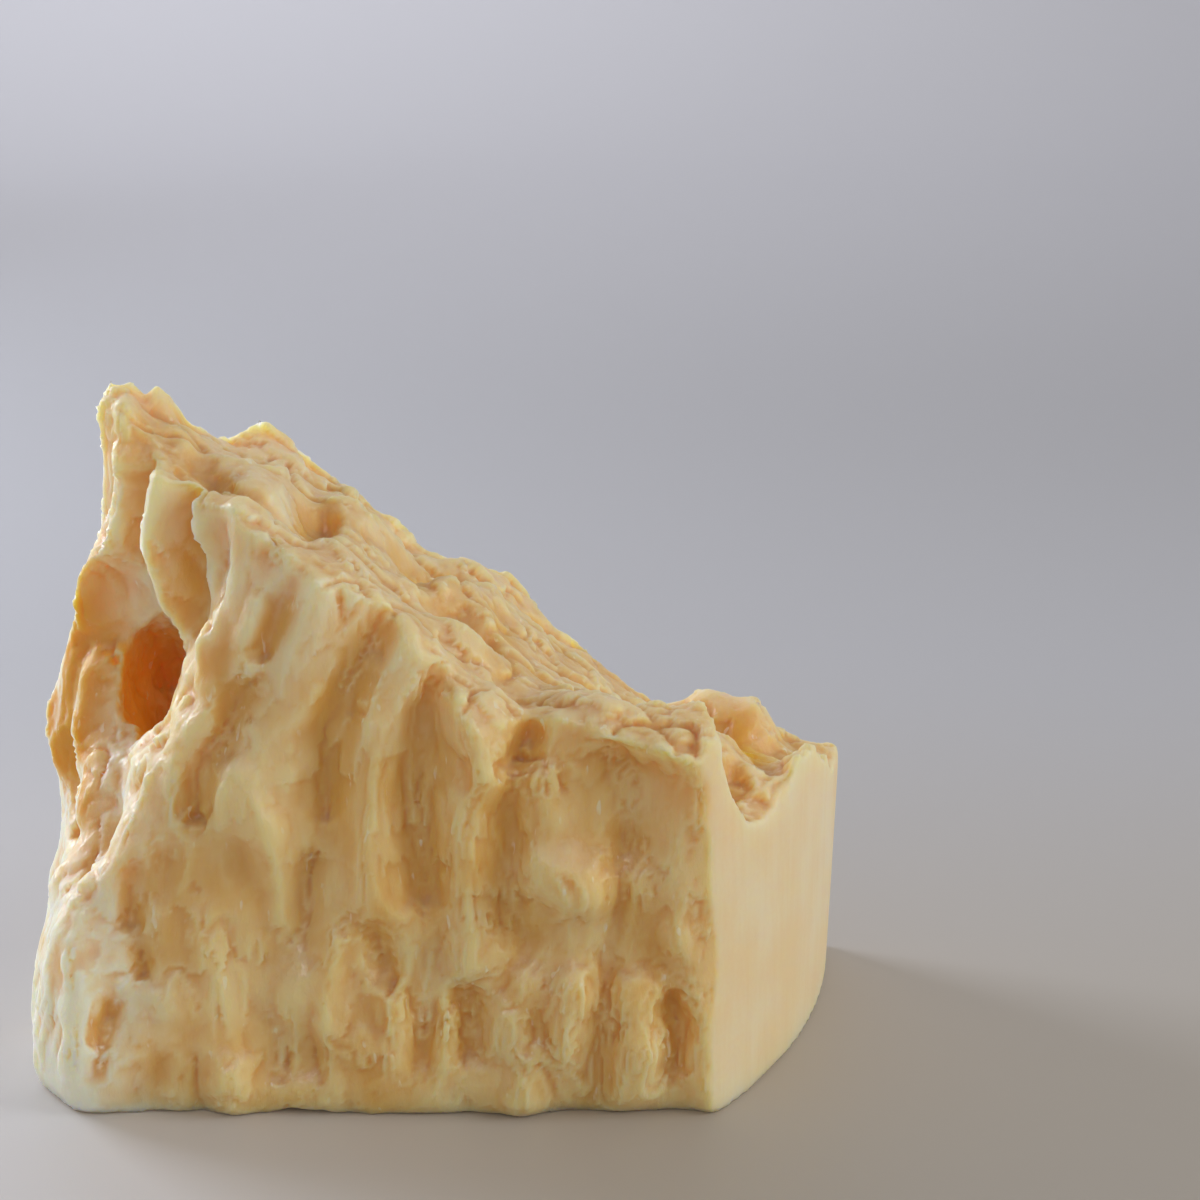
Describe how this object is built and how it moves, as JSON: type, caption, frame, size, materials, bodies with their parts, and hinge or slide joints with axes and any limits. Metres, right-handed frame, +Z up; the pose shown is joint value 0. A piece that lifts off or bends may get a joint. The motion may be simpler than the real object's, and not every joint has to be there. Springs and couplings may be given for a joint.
{
  "type": "cheese wedge",
  "caption": "Broken chunk of pale hard cheese: rugged fluted front, tall left end with a hollow, sloping craggy top, smooth curved right side.",
  "frame": {"origin": "middle of the flat foot, at the bottom centre of the bounding box", "axes": "+X along the front's foot towards the smooth curved side, +Y from the fluted front to the back, +Z up"},
  "size_m": [0.129, 0.0666, 0.104],
  "materials": {
    "cheese": "pale yellow hard cheese, slightly translucent and oily, rough where it is broken"
  },
  "bodies": {
    "root": {"cheese_chunk": "cheese"}
  },
  "joints": []
}
